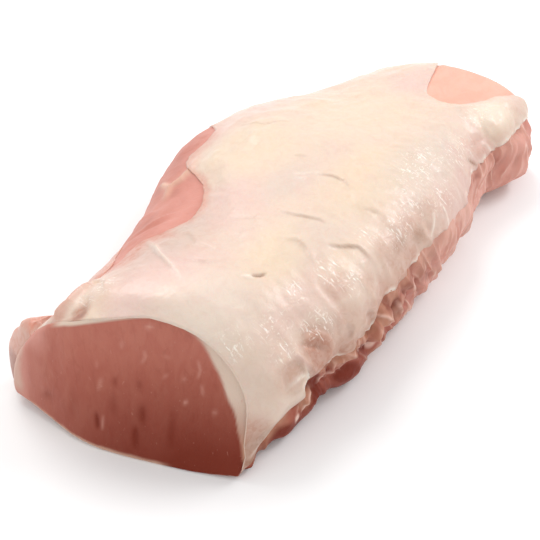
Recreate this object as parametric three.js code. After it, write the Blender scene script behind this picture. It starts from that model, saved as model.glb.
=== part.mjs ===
// A raw boneless pork short loin, lying fat side up on a flat surface.
//
// Millimetres, +Z up, +X along the loin from the near cut face to the far one, +Y towards the
// belly side. The stations below are laid out from a line through the loin, and the finished piece
// is moved so that its origin is under its middle, on the surface that it lies on.
//
// The muscle is one closed skin swept along the loin, with a cut face at each end. The fat cap lies
// over it as a sheet that is cut flush with the near face, hangs over the ragged chine side and
// thins out towards the belly side. A roll of side fat wraps the belly side of the near cut face.
//
// A point of the muscle's skin is found from its place along the loin (x) and its angle round the
// section (phi), where 0 is the chine side, 90 the top and 180 the belly side.

import * as THREE from 'three';

// ---- Driving dimensions: the trimmed muscle, station by station ----

// Chine and belly are the y of its two edges, height is that of its crest, waist is the height at
// which it is widest, and shoulder is the superellipse power of its chine shoulder.

const STATIONS = [
  { x: -185, chine: -79, belly: 43, height: 70, waist: 8, shoulder: 1.75 },
  { x: -150, chine: -88, belly: 43, height: 76, waist: 9, shoulder: 1.75 },
  { x: -125, chine: -97, belly: 44, height: 75, waist: 12, shoulder: 1.8 },
  { x: -95, chine: -98, belly: 50, height: 72, waist: 17, shoulder: 2.1 },
  { x: -67, chine: -101, belly: 60, height: 70, waist: 20, shoulder: 2.4 },
  { x: -27, chine: -102, belly: 80, height: 70, waist: 20, shoulder: 2.5 },
  { x: 13, chine: -101, belly: 90, height: 71, waist: 20, shoulder: 2.5 },
  { x: 53, chine: -98, belly: 82, height: 66, waist: 20, shoulder: 2.5 },
  { x: 93, chine: -93, belly: 61, height: 60, waist: 20, shoulder: 2.5 },
  { x: 133, chine: -95, belly: 41, height: 58, waist: 20, shoulder: 2.7 },
  { x: 173, chine: -93, belly: 24, height: 54, waist: 20, shoulder: 2.7 },
  { x: 198, chine: -86, belly: 4, height: 47, waist: 20, shoulder: 2.4 },
];
const MIDDLE = { x: 1.42, y: -6.68 }; // of the finished piece's box
const CREST_SHARE = 0.47; // where the crest runs, as a share of the width from the chine side
const SINK = 8; // how far the rounded underside would reach below the flat it settles on
const POWER_BELLY = 2.1; // superellipse power of the belly shoulder
const POWER_BELOW = 3.5; // and of the underside

// ---- The two cut faces ----

const NEAR_X = -188; // the near cut, where it meets the ground
const NEAR_BEND = -9; // on the chine side of this y it turns back
const NEAR_TURN = 0.43; // this far per mm
const NEAR_ROUND = 10; // size of the bend
const NEAR_LEAN_CHINE = 0.47; // how far the near cut leans back per mm of height
const NEAR_LEAN_BELLY = 0.22;
const FAR_X = 191;
const FAR_SWEEP = 0.0048; // how fast the far cut falls back on either side, per mm
const FAR_Y = -29; // where across the loin it reaches furthest
const FAR_LEAN = 0.33;
const FACE_BULGE = 1.3; // the muscle stands this proud of its cut rim
const FACE_DIMPLE = 1.2; // unevenness of a cut face
const NEAR_SEED = 5; // where in the noise each face's unevenness is taken
const FAR_SEED = 11;

// ---- Fat ----

const SKIN_GAP = 0.35; // clear of the muscle, so that the solids stay apart
const CAP_LIP = 2.2; // thickness of the cap's lip along the chine side
const CAP_FEATHER = 0.9; // thickness where the cap thins out on the belly side
const CAP_CHINE = 6.6; // full thickness near the chine side
const CAP_BELLY = 4.2; // full thickness near the belly side
const CAP_UNEVEN = 1.1; // lumps in the cap
const FLAP_DEPTH = 2.0; // folds along the cap's hanging edge
const CAP_SHORT = 2.1; // the cap stops this far short of the far cut
const PATCH_DEPTH = 55; // and further where the muscle is bare on top
const CUT_FADE = 6; // how soon the slant of the near cut dies away from the cut, as a power

// ---- Relief of the bare muscle ----

const GULLY_DEPTH = 4.6; // channels that the rib and chine bones leave in the chine side
const GULLY_PITCH = 19;
const SWELL_DEPTH = 1.6; // broad unevenness of the whole muscle

// ---- Mesh ----

const ALONG = 44; // steps along the fat cap
const BEYOND = 4; // steps from the cap's far border to the far cut
const FACE_RINGS = 6;
const BANDS = { chine: 7, cap: 27, seam: 3, roll: 6, under: 8 }; // steps round the section
const ROLL_STEPS = 9;

const degrees = Math.PI / 180;

// A smooth curve through [place, value] points, level beyond its ends.
function curve(points) {
  const slope = points.map((point, i) => {
    const before = points[Math.max(i - 1, 0)];
    const after = points[Math.min(i + 1, points.length - 1)];
    return (after[1] - before[1]) / (after[0] - before[0]);
  });
  return (place) => {
    const last = points.length - 1;
    if (place <= points[0][0]) return points[0][1];
    if (place >= points[last][0]) return points[last][1];
    let i = 0;
    while (place > points[i + 1][0]) i += 1;
    const span = points[i + 1][0] - points[i][0];
    const t = (place - points[i][0]) / span;
    return (
      (2 * t ** 3 - 3 * t ** 2 + 1) * points[i][1] +
      (t ** 3 - 2 * t ** 2 + t) * span * slope[i] +
      (3 * t ** 2 - 2 * t ** 3) * points[i + 1][1] +
      (t ** 3 - t ** 2) * span * slope[i + 1]
    );
  };
}

function rise(low, high, value) {
  const t = Math.min(1, Math.max(0, (value - low) / (high - low)));
  return t * t * (3 - 2 * t);
}

// Smooth noise from -1 to 1, which repeats nowhere on the loin.
function noise(u, v) {
  const cell = (i, j) => {
    const wild = Math.sin(i * 127.1 + j * 311.7) * 43758.5453;
    return 2 * (wild - Math.floor(wild)) - 1;
  };
  const i = Math.floor(u);
  const j = Math.floor(v);
  const fu = rise(0, 1, u - i);
  const fv = rise(0, 1, v - j);
  const near = cell(i, j) * (1 - fu) + cell(i + 1, j) * fu;
  const far = cell(i, j + 1) * (1 - fu) + cell(i + 1, j + 1) * fu;
  return near * (1 - fv) + far * fv;
}

const chineEdge = curve(STATIONS.map((station) => [station.x, station.chine]));
const bellyEdge = curve(STATIONS.map((station) => [station.x, station.belly]));
const muscleHeight = curve(STATIONS.map((station) => [station.x, station.height]));
const muscleWaist = curve(STATIONS.map((station) => [station.x, station.waist]));
const chineShoulder = curve(STATIONS.map((station) => [station.x, station.shoulder]));

// Borders round the section, in degrees, against the place along the loin.
const capChineBorder = curve([
  [-185, -3], [-158, -3], [-150, 3], [-141, 15], [-127, 19], [-104, 19], [-70, 16], [-52, 20], [-32, 17], [-14, 17],
  [10, 17], [34, 15], [59, 16], [88, 20], [117, 22], [136, 24], [160, 26], [190, 26],
]);
const capBellyBorder = curve([
  [-185, 140], [-154, 138], [-142, 132], [-112, 137], [-96, 131], [-80, 124], [-60, 129],
  [-50, 133], [-29, 152], [8, 152], [25, 165], [45, 180], [70, 188], [195, 188],
]);
const rollBorder = curve([[-185, 183], [-150, 184], [-105, 189], [-67, 195], [20, 200], [195, 203]]);
const SEAM_ANGLE = 3.5; // width of the seam between cap and roll
const UNDER_END = 336; // where the underside meets the chine side

// Thickness of the side fat: a knob just behind the near cut, then a thin flap.
const rollSize = curve([
  [-190, 6], [-180, 9.5], [-170, 13], [-162, 12], [-154, 6], [-148, 2.5], [-125, 3.4], [-105, 2],
]);

function seamBorder(x) {
  const open = rise(-132, -95, x);
  const cap = capBellyBorder(x);
  return cap + SEAM_ANGLE * (1 - open) + open * 0.35 * (rollBorder(x) - cap);
}

// The angle, in degrees, of a step round the section at x.
function angleAt(x, step) {
  const { chine, cap, seam, roll, under } = BANDS;
  const stops = [
    [0, UNDER_END - 360],
    [chine, capChineBorder(x)],
    [chine + cap, capBellyBorder(x)],
    [chine + cap + seam, seamBorder(x)],
    [chine + cap + seam + roll, rollBorder(x)],
    [chine + cap + seam + roll + under, UNDER_END],
  ];
  let i = 0;
  while (step > stops[i + 1][0]) i += 1;
  const share = (step - stops[i][0]) / (stops[i + 1][0] - stops[i][0]);
  return stops[i][1] + share * (stops[i + 1][1] - stops[i][1]);
}

function nearCut(y, z) {
  const lean = NEAR_LEAN_CHINE + (NEAR_LEAN_BELLY - NEAR_LEAN_CHINE) * rise(-47, 8, y);
  const turned = Math.hypot(Math.max(0, NEAR_BEND - y), NEAR_ROUND) - NEAR_ROUND;
  return NEAR_X + NEAR_TURN * turned + lean * z;
}

function farCut(y, z) {
  return FAR_X - FAR_SWEEP * (y - FAR_Y) ** 2 - FAR_LEAN * z;
}

// Channels and strands down the ragged chine side, deepest half way down it.
function gully(x, z) {
  const along = (x + 0.45 * z) / GULLY_PITCH;
  const strands = 1 - Math.abs(noise(along * 1.35, z / 34)) * 2;
  const lumps = noise(along * 0.6 + 7.3, z / 25 + 2);
  return 0.6 * strands - 0.4 + 0.7 * lumps;
}

// How far the muscle's skin stands out of its smooth section, at an angle in degrees.
function muscleRelief(x, angle, z) {
  const chineSide = rise(-30, -12, angle) * (1 - rise(10, 34, angle));
  const nearCorner = 0.35 + 0.65 * rise(-165, -120, x);
  const swell = noise(x / 52 + 3, angle / 38) * rise(-30, 20, angle) * (1 - rise(180, 205, angle));
  return GULLY_DEPTH * gully(x, z) * chineSide * nearCorner + SWELL_DEPTH * swell;
}

// A point of the section at x, with the muscle's relief.
function sectionPoint(x, angle) {
  const chine = chineEdge(x);
  const belly = bellyEdge(x);
  const waist = muscleWaist(x);
  const centre = chine + CREST_SHARE * (belly - chine);
  const c = Math.cos(angle * degrees);
  const s = Math.sin(angle * degrees);
  const reach = c > 0 ? centre - chine : belly - centre;
  const lift = s > 0 ? muscleHeight(x) - waist : waist + SINK;
  const topPower = c > 0 ? chineShoulder(x) : POWER_BELLY;
  const power = s > 0 ? topPower : POWER_BELOW;
  const smooth = (Math.abs(c / reach) ** power + Math.abs(s / lift) ** power) ** (-1 / power);
  const radius = smooth + muscleRelief(x, angle, waist + smooth * s);
  return { y: centre - radius * c, z: Math.max(0, waist + radius * s) };
}

// Where a step round the section starts and ends along the loin.
function reachOf(step) {
  const near = sectionPoint(NEAR_X + 20, angleAt(NEAR_X + 20, step));
  const far = sectionPoint(FAR_X - 12, angleAt(FAR_X - 12, step));
  return { near: nearCut(near.y, near.z), far: farCut(far.y, far.z) };
}

// The cap stops short of the far cut, and leaves a bare patch of muscle on the far top.
function capEnd(step, far) {
  const across = (step - BANDS.chine) / BANDS.cap;
  const patch = rise(0.07, 0.2, across) * (1 - rise(0.32, 0.62, across));
  return far - CAP_SHORT - PATCH_DEPTH * patch;
}

// ---- Building the skins ----

const AROUND = BANDS.chine + BANDS.cap + BANDS.seam + BANDS.roll + BANDS.under;

function musclePoint(x, step) {
  const { y, z } = sectionPoint(x, angleAt(x, step));
  return new THREE.Vector3(x, y, z);
}

// The muscle's skin as rows of points, from the near rim to the far one.
function muscleRows() {
  const rows = [];
  for (let i = 0; i <= ALONG + BEYOND; i += 1) {
    rows.push([]);
    for (let j = 0; j < AROUND; j += 1) {
      const { near, far } = reachOf(j);
      const end = capEnd(j, far);
      const rim = near + FACE_BULGE;
      const x = i <= ALONG
        ? rim + ((end - rim) * i) / ALONG
        : end + ((far - FACE_BULGE - end) * (i - ALONG)) / BEYOND;
      rows[i].push(musclePoint(x, j));
    }
  }
  return rows;
}

// Rows of outward normals of a skin that closes on itself round the section.
function normalRows(rows) {
  return rows.map((row, i) => row.map((_, j) => {
    const before = rows[Math.max(i - 1, 0)][j];
    const after = rows[Math.min(i + 1, rows.length - 1)][j];
    const left = row[(j + AROUND - 1) % AROUND];
    const right = row[(j + 1) % AROUND];
    const along = after.clone().sub(before);
    const round = right.clone().sub(left);
    return along.cross(round).normalize();
  }));
}

// Points of a cut face on the same rays as its rim, ring by ring towards the middle.
function faceRings(rim, cut, seed) {
  const middle = rim.reduce((sum, point) => sum.add(point), new THREE.Vector3());
  middle.divideScalar(rim.length);
  const rings = [];
  for (let k = 1; k <= FACE_RINGS; k += 1) {
    const share = k === 1 ? 0.975 : 1 - (k - 0.6) / (FACE_RINGS + 0.4);
    rings.push(rim.map((point) => {
      const y = middle.y + share * (point.y - middle.y);
      const z = middle.z + share * (point.z - middle.z);
      const dimple = FACE_DIMPLE * noise(y / 24 + seed, z / 18) * (1 - share ** 2);
      return new THREE.Vector3(cut(y, z) + dimple, y, z);
    }));
  }
  rings.push(new THREE.Vector3(cut(middle.y, middle.z), middle.y, middle.z));
  return rings;
}

// Collects points and faces of one closed mesh.
class Skin {
  constructor() {
    this.points = [];
    this.faces = [];
  }

  addRow(row) {
    return row.map((point) => this.points.push(point) - 1);
  }

  // Joins two rows of points, closed into rings or open.
  join(first, second, closed = false) {
    const steps = closed ? first.length : first.length - 1;
    for (let j = 0; j < steps; j += 1) {
      const next = (j + 1) % first.length;
      this.faces.push([first[j], second[j], second[next]], [first[j], second[next], first[next]]);
    }
  }

  // The same as join, seen from the other side, so that a lining folds where its outside does.
  line(first, second) {
    for (let j = 0; j + 1 < first.length; j += 1) {
      this.faces.push([first[j], second[j + 1], second[j]], [first[j], first[j + 1], second[j + 1]]);
    }
  }

  fan(ring, middle) {
    ring.forEach((point, j) => this.faces.push([point, ring[(j + 1) % ring.length], middle]));
  }

  geometry() {
    const geometry = new THREE.BufferGeometry();
    geometry.setAttribute(
      'position',
      new THREE.Float32BufferAttribute(this.points.flatMap((p) => [p.x, p.y, p.z]), 3),
    );
    geometry.setIndex(this.faces.flat());
    geometry.computeVertexNormals();
    return geometry;
  }
}

// Closes one end of a skin with a cut face. The rim runs anticlockwise, seen from outside.
function addFace(skin, rim, rimIds, cut, seed) {
  const rings = faceRings(rim, cut, seed);
  const [middle] = skin.addRow([rings.pop()]);
  let outer = rimIds;
  rings.forEach((ring) => {
    const inner = skin.addRow(ring);
    skin.join(inner, outer, true);
    outer = inner;
  });
  skin.fan(outer, middle);
}

function muscleGeometry(rows) {
  const skin = new Skin();
  const ringIds = rows.map((row) => skin.addRow(row));
  for (let i = 0; i + 1 < ringIds.length; i += 1) skin.join(ringIds[i], ringIds[i + 1], true);
  addFace(skin, rows[0], ringIds[0], nearCut, NEAR_SEED);
  const last = rows.length - 1;
  addFace(skin, [...rows[last]].reverse(), [...ringIds[last]].reverse(), farCut, FAR_SEED);
  return skin.geometry();
}

// A closed sheet of fat over part of the muscle's skin. Its underside follows the muscle.
function sheetGeometry(rows, normals, firstStep, lastStep, lastRow, thickness) {
  const skin = new Skin();
  const top = [];
  const under = [];
  for (let i = 0; i <= lastRow; i += 1) {
    const topRow = [];
    const underRow = [];
    for (let j = firstStep; j <= lastStep; j += 1) {
      const point = rows[i][j];
      const normal = normals[i][j];
      const across = (j - firstStep) / (lastStep - firstStep);
      const lower = point.clone().addScaledVector(normal, SKIN_GAP);
      const upper = lower.clone().addScaledVector(normal, thickness(point, i / lastRow, across));
      const slant = nearCut(upper.y, upper.z) - nearCut(lower.y, lower.z);
      upper.x += slant * (1 - i / ALONG) ** CUT_FADE;
      upper.z = Math.max(upper.z, lower.z * 0.5);
      topRow.push(upper);
      underRow.push(lower);
    }
    top.push(skin.addRow(topRow));
    under.push(skin.addRow(underRow));
  }
  for (let i = 0; i < lastRow; i += 1) {
    skin.join(top[i], top[i + 1]);
    skin.line(under[i], under[i + 1]);
  }
  const column = (ids, j) => ids.map((row) => row[j]);
  const end = lastStep - firstStep;
  skin.join(under[0], top[0]);
  skin.join(top[lastRow], under[lastRow]);
  skin.join(column(top, 0), column(under, 0));
  skin.join(column(under, end), column(top, end));
  return skin.geometry();
}

// Thickness of the cap: a full lip on the chine side, a long feather on the belly side.
function capThickness(point, along, across) {
  const lip = Math.sqrt(rise(-0.02, 0.13, across));
  const feather = rise(0, 0.22, 1 - across);
  const farTaper = 0.5 + 0.5 * rise(0, 0.07, 1 - along);
  const full = CAP_CHINE + (CAP_BELLY - CAP_CHINE) * rise(0.1, 0.75, across);
  const lumps = CAP_UNEVEN * noise(point.x / 33, point.y / 30 + 5);
  const flaps = FLAP_DEPTH * noise(point.x / 15 + 3, across * 5) * (1 - rise(0.1, 0.3, across));
  const body = (full + lumps + flaps * rise(0, 0.05, across)) * farTaper;
  const edge = CAP_LIP + (CAP_FEATHER - CAP_LIP) * rise(0.3, 0.7, across);
  return edge + Math.max(0, body - edge) * lip * feather;
}

// The side fat is thickest along its middle.
function rollThickness(point, along, across) {
  const round = Math.sqrt(Math.max(0, 1 - (2 * across - 1) ** 2));
  const size = rollSize(point.x);
  return CAP_FEATHER + (size - CAP_FEATHER) * round;
}

// ---- The loin ----

function piece(name, geometry, color, roughness) {
  const material = new THREE.MeshStandardMaterial({ color, roughness, metalness: 0 });
  const mesh = new THREE.Mesh(geometry, material);
  mesh.name = name;
  return mesh;
}

function makeLoin() {
  const rows = muscleRows();
  const normals = normalRows(rows);
  const capStart = BANDS.chine;
  const capStop = capStart + BANDS.cap;
  const rollStart = capStop + BANDS.seam;
  const rollStop = rollStart + BANDS.roll;
  const loin = new THREE.Group();
  loin.position.set(-MIDDLE.x, -MIDDLE.y, 0);
  loin.add(
    piece('loin_muscle', muscleGeometry(rows), '#a95f57', 0.45),
    piece('fat_cap',
      sheetGeometry(rows, normals, capStart, capStop, ALONG, capThickness), '#ead6c8', 0.35),
    piece('side_fat_roll',
      sheetGeometry(rows, normals, rollStart, rollStop, ROLL_STEPS, rollThickness), '#e6c3b2', 0.4),
  );
  return loin;
}

export default makeLoin();
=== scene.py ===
"""The looks of a raw boneless pork short loin that lies fat side up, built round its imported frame.

The muscle, the fat cap and the side fat are modelled again on fine grids, from the same named
sizes as their solids, and then get the relief and the colours that the solids leave out. A thin torn
layer is added on the chine side. Shapes are worked out in millimetres, along a line through the loin
as their solids are: x runs along the loin from the near cut, y across it towards the belly side, and
z up. A point of the muscle's skin is found from its place along the loin and its angle round the
section, where 0 degrees is the chine side, 90 the top and 180 the belly side.
"""
import math

import bpy
import numpy as np
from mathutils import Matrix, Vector


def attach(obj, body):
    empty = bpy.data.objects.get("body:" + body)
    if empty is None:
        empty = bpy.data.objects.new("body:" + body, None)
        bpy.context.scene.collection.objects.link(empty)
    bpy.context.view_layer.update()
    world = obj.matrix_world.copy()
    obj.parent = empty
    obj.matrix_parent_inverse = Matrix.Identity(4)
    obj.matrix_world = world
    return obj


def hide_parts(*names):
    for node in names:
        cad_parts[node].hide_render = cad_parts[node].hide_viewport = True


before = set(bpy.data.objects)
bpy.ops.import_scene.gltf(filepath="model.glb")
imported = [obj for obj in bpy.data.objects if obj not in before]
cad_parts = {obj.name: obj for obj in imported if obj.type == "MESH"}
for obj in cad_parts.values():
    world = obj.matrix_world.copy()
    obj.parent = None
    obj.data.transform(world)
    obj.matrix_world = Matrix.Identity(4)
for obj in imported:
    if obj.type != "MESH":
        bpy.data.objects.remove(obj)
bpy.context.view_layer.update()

MM = 0.001

# ---- The trimmed muscle, as in its solid, in millimetres ----

# x, chine edge, belly edge, crest height, height of the widest place, chine shoulder power
STATIONS = (
    (-185, -79, 43, 70, 8, 1.75),
    (-150, -88, 42, 76, 9, 1.75),
    (-125, -97, 45, 75, 12, 1.8),
    (-95, -98, 52, 72, 17, 2.1),
    (-67, -101, 61, 70, 20, 2.4),
    (-27, -102, 80, 70, 20, 2.5),
    (13, -101, 90, 71, 20, 2.5),
    (53, -98, 82, 65, 20, 2.5),
    (93, -93, 61, 59, 20, 2.5),
    (133, -95, 41, 59, 20, 2.7),
    (173, -93, 24, 56, 20, 2.7),
    (198, -86, 4, 48, 20, 2.4),
)
MIDDLE = (1.42, -6.68)  # of the finished piece's box
CREST_SHARE = 0.47
SINK = 8
POWER_BELLY = 2.1
POWER_BELOW = {"chine": 2.6, "belly": 3.5}
CORNER_LIFT = 6  # of the near end's belly corner above the board
CHINE_CORNER_LIFT = 4.5
BELLY_LIFT = 6  # of the low part of the belly side, towards the near end

NEAR_X = -188
NEAR_BEND = 4
NEAR_TURN = 0.43
NEAR_ROUND = 27
NEAR_LEAN_CHINE = 0.47
NEAR_LEAN_BELLY = 0.22
FAR_X = 191
FAR_SWEEP = 0.0048
FAR_Y = -29
FAR_LEAN = 0.33
FAR_ROUND_REACH = 11
FAR_ROUND_DEPTH = 4.5
FACE_BULGE = 1.3
FACE_DIMPLE = 1.2
NEAR_SEED = 5
FAR_SEED = 11

CAP_LIP = 2.2
CAP_FEATHER = 0.9
CAP_CHINE = 6.6
CAP_BELLY = 4.2
CAP_UNEVEN = 1.1
FLAP_DEPTH = 2.0
CAP_SHORT = 2.1
PATCH_DEPTH = 51
CUT_FADE = 6

GULLY_DEPTH = 4.6
GULLY_PITCH = 19
SWELL_DEPTH = 1.6

ALONG = 44
BEYOND = 4
ROW_LENGTH = 8.6  # of one row along the loin
BANDS = {"chine": 7, "cap": 27, "seam": 3, "roll": 6, "under": 8}
ROLL_STEPS = 9
SEAM_ANGLE = 3.5
UNDER_END = 336
ROLL_FIRST = BANDS["chine"] + BANDS["cap"] + BANDS["seam"]

CAP_CHINE_BORDER = (
    (-185, -4), (-158, -2), (-150, 1), (-141, 2), (-134, 6), (-127, 9), (-120, 12), (-115, 17),
    (-104, 17), (-88, 15), (-70, 13), (-52, 19), (-32, 16),
    (-14, 17), (10, 17), (34, 15), (59, 16), (88, 20), (117, 22), (136, 24), (160, 26), (190, 26),
)
CAP_BELLY_BORDER = (
    (-185, 140), (-154, 138), (-142, 132), (-112, 137), (-96, 131), (-80, 124), (-60, 129),
    (-50, 133), (-29, 152), (8, 152), (25, 165), (45, 180), (70, 188), (195, 188),
)
CHINE_TUCK = (
    (-172, -2), (-160, -1), (-150, 2), (-141, 7), (-131, 7), (-122, 5), (-103, 6), (-96, 7), (-90, 7.5),
    (-83, 4.5), (-76, 3), (-62, 4), (-50, 7), (-32, 7), (-20, 7), (0, 4),
    (60, 4), (85, 5), (104, 9), (118, 8), (132, 2), (190, 2),
)
ROLL_BORDER = ((-185, 183), (-150, 184), (-105, 189), (-67, 195), (20, 200), (195, 203))
ROLL_SIZE = (
    (-190, 10), (-180, 12.5), (-173, 12), (-166, 6.5), (-160, 2), (-150, 1.5), (-125, 3), (-105, 2),
)
KNOB_SIZE = ((-190, 4), (-182, 8), (-175, 9.5), (-170, 9), (-165, 5.5), (-160, 1), (-155, 0))
NOTCH_DEPTH = 6  # of the dip between the knob and the cap's end
NOTCH_X = -150
NOTCH_REACH = 8


# ---- Curves and noise ----

def curve(points):
    """A smooth curve through (place, value) points, level beyond its ends, as a function of arrays."""
    place, value = np.array(points, float).T
    last = len(place) - 1
    before = np.maximum(np.arange(last + 1) - 1, 0)
    after = np.minimum(np.arange(last + 1) + 1, last)
    slope = (value[after] - value[before]) / (place[after] - place[before])

    def at(x):
        x = np.clip(x, place[0], place[-1])
        i = np.searchsorted(place[1:-1], x)
        span = place[i + 1] - place[i]
        t = (x - place[i]) / span
        level = (2 * t**3 - 3 * t**2 + 1) * value[i] + (3 * t**2 - 2 * t**3) * value[i + 1]
        lean = (t**3 - 2 * t**2 + t) * slope[i] + (t**3 - t**2) * slope[i + 1]
        return level + lean * span

    return at


def rise(low, high, value):
    """0 below low, 1 above high, and smooth between them."""
    t = np.clip((value - low) / (high - low), 0, 1)
    return t * t * (3 - 2 * t)


def noise(u, v):
    """Smooth noise from -1 to 1, the same as in the solids."""
    i, j = np.floor(u), np.floor(v)
    fu, fv = rise(0, 1, u - i), rise(0, 1, v - j)

    def cell(a, b):
        wild = np.sin(a * 127.1 + b * 311.7) * 43758.5453
        return 2 * (wild - np.floor(wild)) - 1

    near = cell(i, j) * (1 - fu) + cell(i + 1, j) * fu
    far = cell(i, j + 1) * (1 - fu) + cell(i + 1, j + 1) * fu
    return near * (1 - fv) + far * fv


def rough(u, v, octaves=3):
    """Noise with finer noise on it, roughly from -1 to 1."""
    total, size = 0, 1
    for k in range(octaves):
        total = total + size * noise(u * 2**k + 17 * k, v * 2**k - 9 * k)
        size *= 0.5
    return total / 1.75


station = {
    name: curve([(row[0], row[k]) for row in STATIONS])
    for k, name in ((1, "chine"), (2, "belly"), (3, "height"), (4, "waist"), (5, "shoulder"))
}
cap_chine_smooth = curve(CAP_CHINE_BORDER)
cap_belly_smooth = curve(CAP_BELLY_BORDER)
roll_border = curve(ROLL_BORDER)
roll_size = curve(ROLL_SIZE)
knob_size = curve(KNOB_SIZE)
chine_tuck = curve(CHINE_TUCK)


# ---- The muscle's skin ----

def cap_chine_border(x):
    """The hanging edge of the cap is torn, in scallops."""
    return cap_chine_smooth(x) + 1.6 * noise(x / 9, 3.5) + 0.8 * noise(x / 3.1, 8.5)


def cap_belly_border(x):
    return cap_belly_smooth(x) + 1.3 * noise(x / 8, 21.5) + 0.7 * noise(x / 2.7, 27.5)


def seam_border(x):
    opened = rise(-132, -95, x)
    cap = cap_belly_border(x)
    return cap + SEAM_ANGLE * (1 - opened) + opened * 0.35 * (roll_border(x) - cap)


def angle_at(x, step):
    """The angle, in degrees, of a step round the section at x."""
    ends = np.cumsum([0, *BANDS.values()])
    borders = np.stack([
        np.full_like(x, UNDER_END - 360.0), cap_chine_border(x), cap_belly_border(x),
        seam_border(x), roll_border(x), np.full_like(x, float(UNDER_END)),
    ])
    step = step % ends[-1]
    band = np.clip(np.searchsorted(ends, step, side="right") - 1, 0, len(BANDS) - 1)
    share = (step - ends[band]) / (ends[band + 1] - ends[band])
    pick = np.indices(x.shape)
    low, high = borders[(band, *pick)], borders[(band + 1, *pick)]
    return low + share * (high - low)


def near_cut(y, z):
    lean = NEAR_LEAN_CHINE + (NEAR_LEAN_BELLY - NEAR_LEAN_CHINE) * rise(-47, 8, y)
    turned = np.hypot(np.maximum(0, NEAR_BEND - y), NEAR_ROUND) - NEAR_ROUND
    return NEAR_X + NEAR_TURN * turned + lean * z


def far_cut(y, z):
    return FAR_X - FAR_SWEEP * (y - FAR_Y) ** 2 - FAR_LEAN * z


def gully(x, z):
    """Channels and strands down the ragged chine side."""
    along = (x + 0.45 * z) / GULLY_PITCH
    strands = 1 - np.abs(noise(along * 1.35, z / 34)) * 2
    return 0.6 * strands - 0.4 + 0.7 * noise(along * 0.6 + 7.3, z / 25 + 2)


def muscle_relief(x, angle, z):
    chine_side = rise(-30, -12, angle) * (1 - rise(10, 34, angle))
    near_corner = 0.35 + 0.65 * rise(-165, -120, x)
    swell = noise(x / 52 + 3, angle / 38) * rise(-30, 20, angle) * (1 - rise(180, 205, angle))
    return GULLY_DEPTH * gully(x, z) * chine_side * near_corner + SWELL_DEPTH * swell


def section_point(x, angle):
    """y and z of the section at x, with the muscle's relief."""
    chine, belly, waist = station["chine"](x), station["belly"](x), station["waist"](x)
    centre = chine + CREST_SHARE * (belly - chine)
    c, s = np.cos(np.radians(angle)), np.sin(np.radians(angle))
    reach = np.where(c > 0, centre - chine, belly - centre)
    lift = np.where(s > 0, station["height"](x) - waist, waist + SINK)
    top_power = np.where(c > 0, station["shoulder"](x), POWER_BELLY)
    low_power = np.where(c > 0, POWER_BELOW["chine"], POWER_BELOW["belly"])
    power = np.where(s > 0, top_power, low_power)
    smooth = (np.abs(c / reach) ** power + np.abs(s / lift) ** power) ** (-1 / power)
    radius = smooth + muscle_relief(x, angle, waist + smooth * s)
    radius = radius - far_rounding(x, centre - radius * c) - drawn_in(x, angle, waist + smooth * s)
    y = centre - radius * c
    raised = rise(140, 185, angle) * (1 - rise(215, 260, angle)) * (1 - rise(-170, -120, x))
    return y, np.maximum(board_lift(x, y), waist + BELLY_LIFT * raised + radius * s)


def drawn_in(x, angle, z):
    """How deep the tuck of the chine side's low part and the dip beside the knob are."""
    tucked = rise(-40, -20, angle) * (1 - rise(0, 40, angle)) * (1 - rise(18, 48, z))
    notched = rise(126, 140, angle) * (1 - rise(160, 185, angle))
    notched = notched * np.exp(-(((x - NOTCH_X) / NOTCH_REACH) ** 2))
    return chine_tuck(x) * tucked + NOTCH_DEPTH * notched


def board_lift(x, y):
    """How high the corners of the near end are above the board."""
    corner = CORNER_LIFT * rise(-24, 42, y) + CHINE_CORNER_LIFT * (1 - rise(-88, -62, y))
    return corner * (1 - rise(-178, -138, x))


def far_rounding(x, y):
    """How much the section shrinks where it rounds over into the far cut."""
    left = np.clip((far_cut(y, 30) - x) / FAR_ROUND_REACH, 0, 1)
    return FAR_ROUND_DEPTH * (1 - np.sqrt(1 - (1 - left) ** 2))


def reach_of(step):
    """Where a step round the section starts and ends along the loin."""
    near_x, far_x = np.full_like(step, NEAR_X + 20.0), np.full_like(step, FAR_X - 12.0)
    near = section_point(near_x, angle_at(near_x, step))
    far = section_point(far_x, angle_at(far_x, step))
    return near_cut(*near), far_cut(*far)


def cap_share(step):
    """How far a step is across the cap, from 0 on the chine side to 1 on the belly side."""
    return (step - BANDS["chine"]) / BANDS["cap"]


def roll_share(step):
    """How far a step is across the side fat, from 0 at its top to 1 at its bottom."""
    return (step - ROLL_FIRST) / BANDS["roll"]


def patch_share(across):
    """Where across the cap its far end is torn off, from 0 to 1."""
    return rise(0.05, 0.26, across) * (1 - rise(0.36, 0.62, across)) ** 0.7


def row_x(row, step):
    near, far = reach_of(step)
    torn = patch_share(cap_share(step))
    end = far - CAP_SHORT - PATCH_DEPTH * torn - 1.6 * rise(0.02, 0.12, torn) * rough(step / 1.9, 4.5)
    rim = near + FACE_BULGE
    under_cap = rim + (end - rim) * row / ALONG
    beyond = end + (far - FACE_BULGE - end) * (row - ALONG) / BEYOND
    return np.where(row <= ALONG, under_cap, beyond)


# ---- Listed features ----

ZONE_RAGGED = 0.18


def along_skin(points, normals, centre):
    """From a centre to points, along the skin only, and far away from the other side of the piece."""
    away = points - np.asarray(centre, float)
    off = np.sum(away * normals, axis=-1, keepdims=True)
    return away - off * normals + np.where(np.abs(off) > 22, 1e3, 0)


def oval(skin, centre, along, across):
    """How far skin is from the centre of an oval, where 1 is the oval's edge."""
    away = along_skin(skin.base, skin.facing, centre)
    return np.hypot(away[..., 0] / along, np.hypot(away[..., 1], away[..., 2]) / across)


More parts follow.
